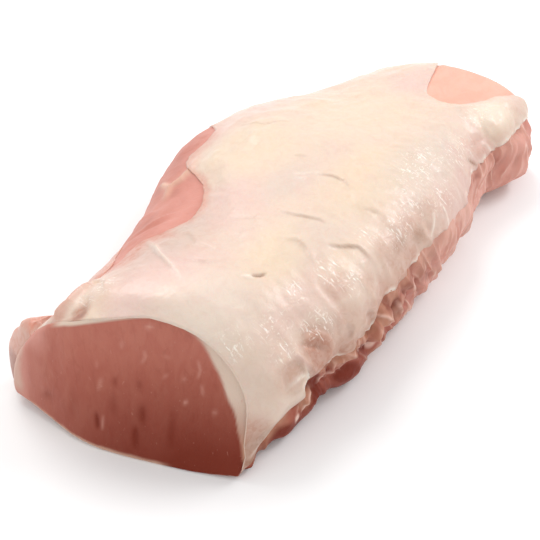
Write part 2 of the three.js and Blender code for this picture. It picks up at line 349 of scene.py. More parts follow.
def zone(skin, centre, along, across, soft):
    """1 inside an oval of the skin round centre and 0 outside it, with a soft ragged edge."""
    ragged = ZONE_RAGGED * rough(skin.x / 14 + centre[1], (skin.y - skin.z) / 12)
    return 1 - rise(1 - soft, 1 + soft, oval(skin, centre, along, across) + ragged)


def off_path(points, normals, path):
    """How far points are from a path, with a sign for its two sides, and their share along it."""
    path = np.array(path, float)
    runs = np.diff(path, axis=0)
    lengths = np.linalg.norm(runs, axis=1)
    walked = np.concatenate([[0], np.cumsum(lengths)])
    best = np.full(points.shape[:-1], 1e9)
    signed, place = best.copy(), np.zeros_like(best)
    for start, run, length, before in zip(path, runs, lengths, walked):
        away = along_skin(points, normals, start)
        share = np.clip(away @ run / length**2, 0, 1)
        left = away - share[..., None] * run
        left = left - np.sum(left * normals, axis=-1, keepdims=True) * normals
        distance = np.linalg.norm(left, axis=-1)
        hand = np.sign(np.sum(np.cross(run, left) * normals, axis=-1))
        nearer = distance < best
        best = np.where(nearer, distance, best)
        signed = np.where(nearer, hand * distance, signed)
        place = np.where(nearer, (before + share * length) / walked[-1], place)
    return signed, place


def mark(points, normals, kind, width, path):
    """The height of a mark of height 1: a ridge, a crease, or a fold that drops on one side."""
    signed, place = off_path(points, normals, path)
    taper = np.sqrt(np.clip(np.sin(np.pi * (0.04 + 0.92 * place)), 0, 1))
    if kind == "fold":
        steep = np.exp(np.minimum(signed, 0) / (0.45 * width))
        slow = np.exp(-np.maximum(signed, 0) / (3.5 * width))
        return steep * slow * taper
    bell = np.exp(-((signed / width) ** 2)) * taper
    return -bell if kind == "crease" else bell


def no_masks(shape, names):
    return {name: np.zeros(shape) for name in names}


def at_least(masks, name, amount):
    """Raises a mask to an amount wherever it is lower."""
    masks[name] = np.maximum(masks[name], amount)


def lay_zones(masks, skin, zones, soft):
    """Raises each mask in its ovals."""
    for name, ovals in zones.items():
        for strength, centre, along, across in ovals:
            at_least(masks, name, strength * zone(skin, centre, along, across, soft))


def fold_shade(skin, width, path):
    """The shaded foot of a fold's steep side."""
    signed, place = off_path(skin.base, skin.facing, path)
    taper = np.sqrt(np.clip(np.sin(np.pi * place), 0, 1))
    return np.exp(-(((signed + 0.8 * width) / (0.8 * width)) ** 2)) * taper


def lay_marks(skin, marks, names, beads=1):
    """The height of marks on the skin, and the masks of their tints."""
    height, tints = 0, no_masks(skin.x.shape, names)
    for (kind, tint), rows in marks.items():
        for width, depth, strength, path in rows:
            bell = mark(skin.base, skin.facing, kind, width, path)
            height = height + depth * bell
            shade = fold_shade(skin, width, path) if kind == "fold" else np.abs(bell)
            at_least(tints, tint, strength * beads * shade)
    return height, tints


# ---- The relief of the skin ----

TEAR_ROOM = 1.6  # how far the lean is sunk under the torn layer

# Lobes and pits of the ragged chine side, in mm: height, centre, reach along the loin and across
LOBES = (
    (1.8, (-104, -92, 44), 11, 14), (-1.6, (-125, -90, 46), 7, 7), (-1.8, (-95, -95, 24), 5, 8),
    (2.4, (-84, -97, 32), 7, 9), (1.8, (-110, -94, 20), 5, 6), (-1.8, (-84, -97, 47), 4, 4),
    (2.6, (-56, -101, 34), 11, 11), (-2.4, (-69, -100, 42), 4, 8), (2.0, (-34, -101, 24), 7, 13),
    (-1.6, (-15, -101, 36), 5, 8), (2.0, (2, -98, 22), 6, 12), (1.8, (30, -96, 26), 6, 14),
    (1.6, (60, -94, 24), 8, 13), (-2.4, (112, -88, 38), 4, 9), (2.4, (124, -80, 54), 16, 14),
    (2.0, (134, -90, 26), 14, 16),
)

# Marks on the bare strip along the belly side, by kind: width, height and path, in mm
STRIP_MARKS = {
    "ridge": (
        (2.4, 2.0, ((-24, 47, 60), (-35, 44, 59), (-43, 44, 56), (-50, 47, 52), (-59, 42, 53))),
        (1.8, 1.3, ((-50, 47, 52), (-42, 61, 45))),
    ),
    "fold": (
        (1.8, 1.2, ((-71, 42, 50), (-73, 49, 42), (-80, 52, 34))),
        (1.8, 1.4, ((-74, 22, 62), (-80, 27, 58), (-88, 33, 53))),
    ),
    "crease": (
        (2.2, 1.0, ((-80, 19, 62), (-91, 30, 55), (-98, 36, 48))),
    ),
}


def strands(x, z):
    """Heights of the coarse and the fine strands that run down the chine side, and of its lumps."""
    slant = 0.42 - 0.62 * rise(-20, 60, x)
    slanted = x + slant * z + 3.6 * noise(x / 21, z / 19 + 4) + 1.3 * noise(x / 8 + 3, z / 9)
    strength = 0.2 + 0.8 * rise(-0.5, 0.5, noise(x / 23 + 5, z / 25))
    coarse = strength * (1 - 2 * np.abs(noise(slanted / 8.5, z / 26)))
    fine = (1.1 - 0.6 * strength) * (1 - 2 * np.abs(noise(slanted / 3.7 + 40, z / 15)))
    fine = fine * (0.35 + 0.65 * np.maximum(rise(14, 24, z), rise(-60, 0, x)))
    return coarse, fine, noise(x / 10 + 11, z / 8)


def torn_share(skin):
    """1 on the torn chine side below the cap's edge, and 0 on cut and smooth skin."""
    border = cap_chine_border(skin.x)
    inside = rise(-24, -13, skin.angle) * (1 - rise(0, 7, skin.angle - border))
    return inside * rise(-166, -136, skin.x) * (1 - rise(138, 156, skin.x))


def broad_relief(skin):
    """What stands out of the muscle's plain skin, under the torn layer."""
    x = skin.x
    height = np.zeros_like(x)
    for depth, centre, along, across in LOBES:
        off = oval(skin, centre, along, across)
        height = height + depth * np.sqrt(np.clip(1 - off**2, 0, 1)) * (1 - rise(0.8, 1, off))
    belly = rise(100, 125, skin.angle) * (1 - rise(190, 210, skin.angle))
    height = height + belly * (0.5 * rough(x / 11, skin.angle / 7) + 0.12 * noise(x / 4, skin.angle / 3))
    height = height + belly * 0.8 * rise(-40, 0, x) * noise(x / 13 + 5, skin.angle / 6)
    for kind, marks in STRIP_MARKS.items():
        for width, depth, path in marks:
            height = height + depth * mark(skin.base, skin.facing, kind, width, path)
    return height


def lean_relief(skin):
    """The same, with room left for the torn layer."""
    return broad_relief(skin) - TEAR_ROOM * torn_share(skin)


class Skin:
    """The muscle's skin at each of some rows along it and steps round it."""

    def __init__(self, rows, steps, relief=broad_relief):
        self.row, self.step = np.meshgrid(rows, steps, indexing="ij")
        self.x = row_x(self.row, self.step)
        self.angle = angle_at(self.x, self.step)
        self.base = self.at(self.row, self.step)
        self.y, self.z = self.base[..., 1], self.base[..., 2]
        self.normal = self.outward(0.7, 0.7)
        self.facing = self.outward(2.5, 3)  # outward from the skin without its smaller relief
        self.point = self.base + relief(self)[..., None] * self.normal
        self.point[..., 2] = np.maximum(self.point[..., 2], 0)

    def outward(self, rows, steps):
        along = self.at(self.row + rows, self.step) - self.at(self.row - rows, self.step)
        around = self.at(self.row, self.step + steps) - self.at(self.row, self.step - steps)
        normal = np.cross(along, around)
        return normal / np.linalg.norm(normal, axis=-1, keepdims=True)

    @staticmethod
    def at(row, step):
        x = row_x(row, step)
        return np.stack([x, *section_point(x, angle_at(x, step))], axis=-1)


# ---- Meshes ----

class Sheet:
    """Collects points and faces of one mesh, with a value per point for each named mask."""

    def __init__(self):
        self.points, self.faces, self.masks, self.flat = [], [], {}, []
        self.count = 0

    def add(self, points, **masks):
        """Adds an array of points and returns an array of their numbers, in the same layout."""
        flat = points.reshape(-1, 3)
        ids = np.arange(self.count, self.count + len(flat)).reshape(points.shape[:-1])
        self.points.append(flat)
        for name, values in masks.items():
            self.masks.setdefault(name, []).append((self.count, np.asarray(values).reshape(-1)))
        self.count += len(flat)
        return ids

    def quads(self, ids, closed=False):
        """Joins a grid of points, row by row, closed round each row or open."""
        right = np.roll(ids, -1, axis=1) if closed else ids[:, 1:]
        left = ids if closed else ids[:, :-1]
        corners = (left[:-1], left[1:], right[1:], right[:-1])
        self.faces += np.stack(corners, axis=-1).reshape(-1, 4).tolist()

    def strip(self, fine, coarse, every, closed=False, wall=False):
        """Joins a fine row to a coarse one that has every so many of its points, flat if it is a wall."""
        fine, coarse = list(fine), list(coarse)
        if closed:
            fine, coarse = fine + fine[:1], coarse + coarse[:1]
        start = 0
        for k in range(len(coarse) - 1):
            stop = start + every[k]
            if wall:
                self.flat.append(len(self.faces))
            self.faces.append([*fine[start : stop + 1][::-1], coarse[k], coarse[k + 1]])
            start = stop

    def build(self, name, material):
        """Makes the object, in metres, in the frame's place."""
        points = np.concatenate(self.points) - (*MIDDLE, 0)
        mesh = bpy.data.meshes.new(name)
        mesh.from_pydata((points * MM).tolist(), [], self.faces)
        for mask, parts in self.masks.items():
            values = np.zeros(self.count, np.float32)
            for first, part in parts:
                values[first : first + len(part)] = part
            mesh.attributes.new(mask, "FLOAT", "POINT").data.foreach_set("value", values)
        smooth = np.ones(len(self.faces), bool)
        smooth[self.flat] = False
        mesh.polygons.foreach_set("use_smooth", smooth)
        mesh.materials.append(material)
        mesh.update()
        made = bpy.data.objects.new(name, mesh)
        bpy.context.scene.collection.objects.link(made)
        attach(made, "root")
        return made


def fine_steps(per_band):
    """Places round the section, with so many to a step in each band."""
    places, first = [], 0
    for name, steps in BANDS.items():
        places += [first + k / per_band[name] for k in range(steps * per_band[name])]
        first += steps
    return np.array(places)


SUNK = 0.6  # how far the underside of a sheet goes into the lean


def closed_sheet(name, rows, steps, thickness, masks, material, coarse_by):
    """A closed sheet over part of the skin, with a coarse underside."""
    skin = Skin(rows, steps)
    lower = skin.point - SUNK * skin.normal
    upper = skin.point + thickness(skin)[..., None] * skin.normal
    on_skin = near_cut(skin.point[..., 1], skin.point[..., 2])
    slanting = np.clip(1 - skin.row / ALONG, 0, 1) ** CUT_FADE
    for layer in (upper, lower):
        layer[..., 0] += (near_cut(layer[..., 1], layer[..., 2]) - on_skin) * slanting
    upper[..., 2] = np.maximum(upper[..., 2], lower[..., 2] * 0.5)
    sheet = Sheet()
    top = sheet.add(upper, **masks(skin))
    under = sheet.add(lower[::coarse_by, ::coarse_by])
    sheet.quads(top)
    sheet.quads(under[:, ::-1])
    across = [coarse_by] * (under.shape[1] - 1)
    along = [coarse_by] * (under.shape[0] - 1)
    sheet.strip(top[0][::-1], under[0][::-1], across, wall=True)
    sheet.strip(top[-1], under[-1], across, wall=True)
    sheet.strip(top[:, 0], under[:, 0], along, wall=True)
    sheet.strip(top[:, -1][::-1], under[:, -1][::-1], along, wall=True)
    return sheet.build(name, material)


# ---- The lean ----

RIM_START = 0.955  # of the way from the middle of a cut to its rim, where it starts to round over
RIM_SHARES = (0.99, 0.98, 0.97, RIM_START)
CUT_RINGS = {-1: 50, 1: 16}

# The border between lean and fat on the near cut face, as (y, z), towards the chine
RIND_BORDER = (
    (-86, 5), (-83, 14), (-81, 20), (-78, 26), (-75, 33), (-69, 42), (-64, 50), (-57, 59), (-51, 65),
    (-43, 71), (-36, 77),
)
rind_border = curve(RIND_BORDER)

# Marks on the near cut face, as (y, z) paths: darkness from -1, pale, to 1, width and path
FACE_MARKS = (
    (-0.8, 1.3, ((-30, 69.5), (-30, 68))), (-0.4, 0.8, ((-30, 57), (-31, 54), (-30, 51))),
    (-0.3, 0.7, ((-21, 62), (-21, 58))), (-0.25, 0.7, ((-12, 51), (-12, 47))),
    (-0.35, 0.8, ((-14, 41), (-13, 34))), (-0.4, 0.7, ((-16.5, 20), (-17, 12))),
    (-0.3, 1.0, ((-49, 46), (-49, 44))), (-0.45, 0.7, ((-53, 55), (-55, 51), (-55, 47))),
    (-0.35, 0.8, ((-57, 44), (-59, 39))), (-0.6, 0.9, ((-52, 35), (-52, 33))),
    (-0.35, 1.2, ((-66, 33), (-66, 31))), (-0.2, 0.8, ((-38, 55), (-41, 54))),
    (-0.25, 1.0, ((-41, 46), (-40, 44))), (0.9, 1.2, ((-13, 21), (-14.5, 12))),
    (0.6, 2.4, ((21, 14), (17, 18), (14, 20))), (0.5, 1.3, ((-20, 43), (-20, 38))),
    (0.45, 1.4, ((-30, 42), (-31, 37))), (0.65, 1.8, ((-33, 29), (-35, 20))),
    (0.6, 1.6, ((-32, 17), (-34, 7))), (0.4, 1.6, ((-20, 33), (-21, 22))),
    (0.3, 2.0, ((-47, 30), (-50, 12))), (0.3, 2.4, ((0, 30), (-1, 14))),
)


def face_features(y, z):
    """Dark and pale marks of the near cut face, each from 0 to 1."""
    points = np.stack([y, z, np.zeros_like(y)], axis=-1)
    dark, pale = np.zeros_like(y), np.zeros_like(y)
    for depth, width, path in FACE_MARKS:
        at = [(*place, 0) for place in path]
        bell = np.abs(mark(points, np.array((0, 0, 1.0)), "ridge", width, at))
        dark = np.maximum(dark, bell * max(depth, 0))
        pale = np.maximum(pale, bell * max(-depth, 0))
    return dark, pale


LEAN_MASKS = ("deep", "blush", "tan", "silver", "film", "rind", "patch")


def face_masks(y, z, side, share):
    """Colour masks of a cut face, at a share of the way from its middle to its rim."""
    masks = no_masks(y.shape, LEAN_MASKS)
    if side > 0:
        # Painted shade: the far cut face is darker towards the bottom
        masks["deep"] += 0.35 * (1 - rise(0, 60, z))
        return masks
    dark, pale = face_features(y, z)
    edge = 1.5 * rough(y / 5, z / 6)
    # Painted shade: the near face is darkened towards the bottom and towards the chine side, and its dark
    # grain marks join the same mask
    low = 1 - rise(0, 72, z)
    towards_chine = 0.3 + 0.7 * rise(28, -42, y)
    masks["deep"] = np.clip((0.9 + 0.15 * rise(-40, -60, y)) * low * towards_chine + 0.5 * dark, 0, 1)
    shoulder = rise(13, 27, y + edge) * rise(36, 54, z + edge)
    # The knob side and the shoulder are paler salmon; the slight paling towards the top is painted light
    blush = 0.3 * rise(12, 30, y) + 0.5 * rise(28, 34, y) + 0.95 * shoulder + 0.14 * rise(42, 66, z)
    masks["blush"] = np.clip(blush + 0.75 * pale, 0, 1)
    chine_rind = rise(-1.8, 1.8, z - rind_border(y) + 0.6 * edge) * (1 - rise(-40, -34, y))
    belly_rind = 0.55 * rise(32.5, 39, y + edge) * rise(5, 14, z) * (1 - 0.6 * rise(36, 46, z))
    # The fat rind towards the chine is darker towards the bottom: painted shade
    masks["tan"] = chine_rind * (1 - rise(14, 44, z))
    masks["rind"] = np.maximum(chine_rind - 0.9 * masks["tan"], belly_rind)
    at_least(masks, "rind", rise(0.962, 0.978, share) * rise(36, 46, z) * (1 - rise(6, 16, y)))
    off_board = z - CORNER_LIFT * rise(-24, 42, y) + 0.4 * edge
    masks["silver"] = 0.7 * (1 - rise(1.0, 3.0, off_board)) * rise(-54, -46, y) * (1 - rise(26, 36, y))
    at_least(masks, "silver", 0.25 * pale)
    return masks


def add_cut(sheet, rim_points, rim_ids, cut, side, seed):
    """Closes an end of the lean with a cut face. Side is -1 on the near face and 1 on the far one."""
    middle = rim_points.mean(axis=0)

    def ring_points(share):
        y = middle[1] + share * (rim_points[None, :, 1] - middle[1])
        z = middle[2] + share * (rim_points[None, :, 2] - middle[2])
        dimple = FACE_DIMPLE * noise(y / 24 + seed, z / 18) * (1 - share**2)
        grain = 0.22 * rough(y / 5 + seed, z / 16) + 0.1 * rough(y / 2.5, z / 3.5 + seed)
        if side < 0:
            dark, pale = face_features(y, z)
            grain = grain + 0.25 * pale - 0.7 * dark
        rounded = np.clip((share - RIM_START) / (1 - RIM_START), 0, 1) ** 2
        x = cut(y, z) + dimple + side * (grain * (1 - share**8) - FACE_BULGE * rounded)
        return np.stack([x, y, z], axis=-1)

    shares = np.array([*RIM_SHARES, *np.linspace(0.935, 0.02, CUT_RINGS[side])])
    points = ring_points(shares[:, None])
    rings = sheet.add(points, **face_masks(points[..., 1], points[..., 2], side, shares[:, None]))
    rows = np.vstack([rim_ids[None], rings])
    sheet.quads(rows if side > 0 else rows[::-1], closed=True)
    centre = points[-1].mean(axis=0)[None]
    middle_id = sheet.add(centre, **face_masks(centre[:, 1], centre[:, 2], side, 0))[0]
    for a, b in zip(rings[-1], np.roll(rings[-1], -1)):
        sheet.faces.append([b, a, middle_id] if side > 0 else [a, b, middle_id])


# Tints of the belly side's lean, by mask: strength, centre, reach along the loin and across, in mm
LEAN_ZONES = {
    # Painted shade: dark ovals in the dip by the knob and beside the ridges and grooves of the bare strip
    "deep": (
        (0.8, (-172, 21, 57), 5, 5), (0.35, (-41, 36, 60), 6, 4), (0.45, (-55, 38, 56), 5, 4),
        (0.35, (-46, 59, 44), 7, 5), (0.4, (-82, 36, 52), 9, 3), (0.22, (-24, 61, 50), 16, 9),
    ),
    "blush": (
        (0.8, (-148, 28, 50), 16, 14),
    ),
}


def lean_masks(skin):
    """Colour masks of the muscle's skin."""
    x, y, z = skin.x, skin.y, skin.z
    masks = no_masks(x.shape, LEAN_MASKS)
    chine = 1 - rise(30, 60, skin.angle)
    # Painted shade: the chine side is darker low down, less so towards the far end
    masks["deep"] = chine * 0.35 * (1 - rise(0, 18, z)) * (1 - 0.6 * rise(30, 120, x))
    belly = rise(96, 112, skin.angle)
    below = rise(196, 215, skin.angle)
    veil = belly * (0.45 + 0.35 * rough(x / 17, y / 9) + 0.4 * rise(44, 62, z))
    masks["blush"] = np.clip(veil * (1 - below) + 0.95 * chine * rise(60, 120, x), 0, 1)
    masks["silver"] = 0.9 * rise(3.2, 0.6, near_rim_height(skin)) * rise(-75, -50, y) * (1 - rise(24, 36, y))
    for width, _, path in STRIP_MARKS["ridge"]:
        at_least(masks, "silver", 0.8 * mark(skin.base, skin.facing, "ridge", width * 1.3, path))
    lay_zones(masks, skin, LEAN_ZONES, 0.5)
    masks["patch"] = rise(20, 40, skin.angle) * (1 - rise(132, 142, skin.angle)) * rise(60, 80, x)
    at_rim = (1 - rise(2, 4, skin.row)) * rise(-8, 0, skin.angle) * (1 - rise(185, 195, skin.angle))
    masks["rind"] = at_rim * np.maximum(1 - rise(6, 16, y), 0.6 * rise(30, 36, y))
    at_least(masks, "blush", at_rim * rise(6, 16, y))
    veils = rise(0.15, 0.6, rough(x / 10 + 3, skin.angle / 5)) * rise(90, 110, x)
    film = 0.25 * below + 0.5 * belly * (1 - below) * veils + 0.12 * chine * rise(90, 120, x)
    masks["film"] = np.clip(film, 0, 1)
    return masks


def near_rim_height(skin):
    """How far skin of the underside is from the ground edge of the near cut, in mm."""
    under = rise(196, 204, skin.angle)
    return np.hypot(skin.row * ROW_LENGTH, 60 * (1 - under))


# Columns to a step, near the near cut and elsewhere
LEAN_FINE = {"chine": 8, "cap": 6, "seam": 6, "roll": 5, "under": 16}
LEAN_COARSE = {"chine": 8, "cap": 2, "seam": 6, "roll": 5, "under": 4}
ROWS_PER_STEP = 7
NEAR_ROWS = 12


def lean_piece(material):
    every = []
    for band, steps in BANDS.items():
        every += [LEAN_FINE[band] // LEAN_COARSE[band]] * (steps * LEAN_COARSE[band])
    before_end = np.arange(NEAR_ROWS, ALONG * ROWS_PER_STEP) / ROWS_PER_STEP
    after_end = ALONG + np.arange(BEYOND * ROWS_PER_STEP + 1) / ROWS_PER_STEP
    near = Skin(np.arange(NEAR_ROWS) / ROWS_PER_STEP, fine_steps(LEAN_FINE), lean_relief)
    main = Skin(np.concatenate([before_end, after_end]), fine_steps(LEAN_COARSE), lean_relief)
    sheet = Sheet()
    near_ids = sheet.add(near.point, **lean_masks(near))
    main_ids = sheet.add(main.point, **lean_masks(main))
    sheet.quads(near_ids, closed=True)
    sheet.strip(near_ids[-1], main_ids[0], every, closed=True)
    sheet.quads(main_ids, closed=True)
    add_cut(sheet, near.point[0], near_ids[0], near_cut, -1, NEAR_SEED)
    add_cut(sheet, main.point[-1], main_ids[-1], far_cut, 1, FAR_SEED)
    return sheet.build("lean", material)


# ---- The torn layer of the chine side ----

# Marks, by kind and tint: width, height, how strong the tint is, and path, in mm
TEAR_MARKS = {
    ("ridge", "film"): (
        (0.9, 1.2, 1.0, ((-108, -93, 24), (-109, -94, 20), (-112, -95, 16), (-116, -94, 13))),
        (0.7, 0.8, 0.6, ((-115, -92, 25), (-118, -94, 18), (-121, -94, 13))),
        (0.9, 1.4, 0.9, ((-98, -93, 33), (-100, -94, 28), (-101, -95, 20))),
        (0.8, 1.2, 0.9, ((-89, -95, 26), (-90, -96, 21), (-95, -97, 17))),
        (0.8, 1.2, 0.7, ((-92, -95, 41), (-86, -97, 37), (-80, -98, 32), (-77, -98, 25))),
        (0.8, 0.8, 0.5, ((-77, -98, 25), (-85, -97, 21), (-90, -97, 20))),
        (0.7, 1.2, 0.9, ((-79, -99, 42), (-76, -99, 33), (-73, -99, 24))),
        (0.7, 1.0, 0.7, ((-74, -99, 41), (-71, -99, 32), (-69, -100, 24))),
        (0.8, 1.3, 0.9, ((-66, -101, 46), (-54, -101, 38), (-46, -101, 29), (-48, -102, 22))),
        (0.9, 1.5, 0.9, ((-38, -101, 35), (-33, -102, 24), (-30, -102, 14))),
        (0.8, 1.2, 0.8, ((-20, -101, 40), (-17, -102, 30), (-15, -102, 20))),
        (0.7, 1.0, 0.7, ((-6, -100, 38), (-3, -101, 28))),
        (0.8, 1.2, 0.8, ((11, -98, 40), (11, -99, 26), (8, -99, 15))),
        (0.8, 1.3, 0.8, ((23, -96, 42), (22, -97, 30), (18, -98, 18))),
        (0.8, 1.1, 0.8, ((40, -94, 40), (37, -96, 26), (33, -97, 15))),
        (0.7, 0.9, 0.7, ((56, -92, 40), (52, -94, 28), (46, -96, 14))),
        (0.7, 1.0, 0.8, ((68, -91, 40), (64, -93, 27), (58, -95, 15))),
        (0.7, 0.9, 0.6, ((76, -90, 40), (73, -92, 30), (70, -93, 22))),
        (0.8, 1.1, 0.8, ((88, -88, 40), (85, -90, 28), (80, -92, 15))),
        (0.7, 1.2, 0.9, ((97, -87, 40), (94, -89, 32), (88, -91, 20))),
        (1.4, 1.8, 0.5, ((103, -85, 48), (105, -88, 40), (105, -89, 28))),
    ),
    # Painted shade: these creases of the torn layer are darkened in their hollows
    ("crease", "deep"): (
        (1.3, 2.0, 0.9, ((-95, -94, 33), (-89, -95, 31), (-85, -95, 31))),
        (1.5, 1.8, 0.9, ((-80, -96, 35), (-74, -98, 27), (-72, -100, 18))),
        (1.5, 1.8, 0.8, ((-68, -100, 33), (-63, -101, 18))),
        (1.4, 1.6, 0.8, ((-54, -101, 24), (-50, -103, 14))),
        (1.8, 2.4, 0.9, ((-70, -101, 45), (-68, -100, 38), (-67, -100, 33))),
        (1.6, 2.2, 0.9, ((-46, -101, 40), (-43, -102, 28), (-42, -102, 17))),
        (1.4, 1.8, 0.7, ((-27, -101, 37), (-24, -102, 26), (-24, -102, 15))),
        (1.6, 1.8, 0.7, ((3, -99, 36), (5, -100, 24), (3, -100, 14))),
        (1.5, 1.8, 0.6, ((31, -95, 40), (29, -96, 26), (25, -97, 14))),
        (2.0, 2.0, 0.5, ((111, -86, 44), (112, -88, 34), (110, -90, 24))),
    ),
}

# Tints, by mask: strength, centre, reach along the loin and across, in mm
TEAR_ZONES = {
    # Painted shade: dark ovals in the pits between lobes and strands
    "deep": (
        (1.0, (-82, -99, 14), 10, 8), (1.0, (-131, -93, 8), 11, 6), (0.9, (-69, -100, 41), 3, 7),
        (0.9, (-84, -97, 46), 4, 4), (0.9, (-95, -96, 25), 4, 7), (0.7, (-57, -102, 14), 8, 5),
        (0.65, (4, -97, 39), 5, 7), (0.6, (-8, -98, 33), 6, 8), (0.6, (8, -101, 26), 3, 9),
        (0.55, (37, -97, 38), 5, 8), (0.5, (48, -96, 34), 3, 9), (0.5, (-18, -100, 30), 4, 8),
        (0.45, (60, -94, 34), 3, 9), (0.4, (82, -90, 30), 4, 12), (0.6, (112, -90, 28), 4, 14),
    ),
    "tan": (
        (0.9, (-112, -94, 19), 6, 6), (0.9, (-86, -97, 31), 7, 8), (0.9, (-57, -101, 34), 10, 9),
        (0.6, (-34, -101, 26), 5, 10),
    ),
    "film": (
        (0.9, (-120, -94, 11), 2, 3), (0.8, (-63, -100, 22), 2, 3),
    ),
    "blush": (
        (0.8, (90, -86, 42), 16, 9),
    ),
}
TEAR_FINE = 14


def tear_marks(skin):
    """The height of the torn layer's marks, and the masks of their tints."""
    beads = 0.55 + 0.45 * rise(-0.4, 0.3, noise(skin.x / 2.6, skin.z / 2.6))
    return lay_marks(skin, TEAR_MARKS, LEAN_MASKS, beads)


def torn_lay(skin):
    """The height of the torn layer's strands and lumps, without its marks."""
    coarse, fine, lumps = strands(skin.x, skin.z)
    far = rise(-10, 70, skin.x)
    waves = (1.9 - 0.6 * far) * coarse + (0.6 + 0.3 * far) * fine + (1.3 - 0.6 * far) * lumps
    return TEAR_ROOM + waves + 0.22 * noise(skin.x / 2.6, skin.z / 3.2)


def tear_thickness(skin):
    height = torn_lay(skin) + tear_marks(skin)[0]
    return 0.12 + torn_share(skin) * np.maximum(0.05 * height, height)


def tear_masks(skin):
    """Colour masks of the torn layer."""
    x, z = skin.x, skin.z
    _, masks = tear_marks(skin)
    coarse, fine, lumps = strands(x, z)
    torn = torn_share(skin)
    height = torn_lay(skin)
    far = rise(-60, 50, x)
    below_hem = cap_chine_border(x) - skin.angle + 5 * rough(x / 9, z / 9)
    # Painted shade: the pocket under the cap's hem, the valleys between strands, the near end and the low
    # part by the board are darkened
    hem_shadow = 0.8 * rise(9, 5, below_hem) * rise(-2, 2, below_hem) * rise(0.0, 0.5, noise(x / 7 + 3, 5.5))
    valley_shade = 1 - rise(0.2, 2.0, height)
    near = 1 - rise(-60, 60, x)
    low = 1 - rise(8, 26, z + 4 * lumps)
    at_least(masks, "deep", torn * (1.3 * valley_shade + hem_shadow + 0.25 * near) * (1 - 0.55 * far))
    masks["deep"] = np.clip(masks["deep"] + (0.25 + 0.35 * near) * low * (1 - 0.7 * far), 0, 1)
    hem = rise(9, 1, below_hem) + 0.5 * rise(2.6, 4.2, height)
    masks["tan"] = torn * np.clip(hem, 0, 0.9) * (1 - 0.7 * far)
    masks["blush"] = np.clip(far * (1.0 + 0.3 * lumps), 0, 1)
    thread = 0.85 * rise(0.72, 0.98, coarse) + 0.6 * rise(0.5, 0.85, fine)
    veil = thread * (0.6 + 0.4 * lumps) * (1 - 0.8 * masks["deep"])
    veil = veil + 0.42 * far * (1 - 0.5 * rise(60, 105, x))
    at_least(masks, "film", torn * veil)
    lay_zones(masks, skin, TEAR_ZONES, 0.5)
    for name in ("tan", "film"):
        masks[name] = masks[name] * (1 - 0.7 * hem_shadow)
    masks["blush"] = masks["blush"] * (1 - 0.6 * masks["deep"])
    return masks


def tear_piece(material):
    rows = np.arange(TEAR_FINE, ALONG * TEAR_FINE + 1) / TEAR_FINE
    steps = np.arange((BANDS["chine"] + 1) * TEAR_FINE + 1) / TEAR_FINE
    return closed_sheet(
        "chine_tear", rows, steps, tear_thickness, tear_masks, material, TEAR_FINE // 2,
    )


# ---- Fat ----

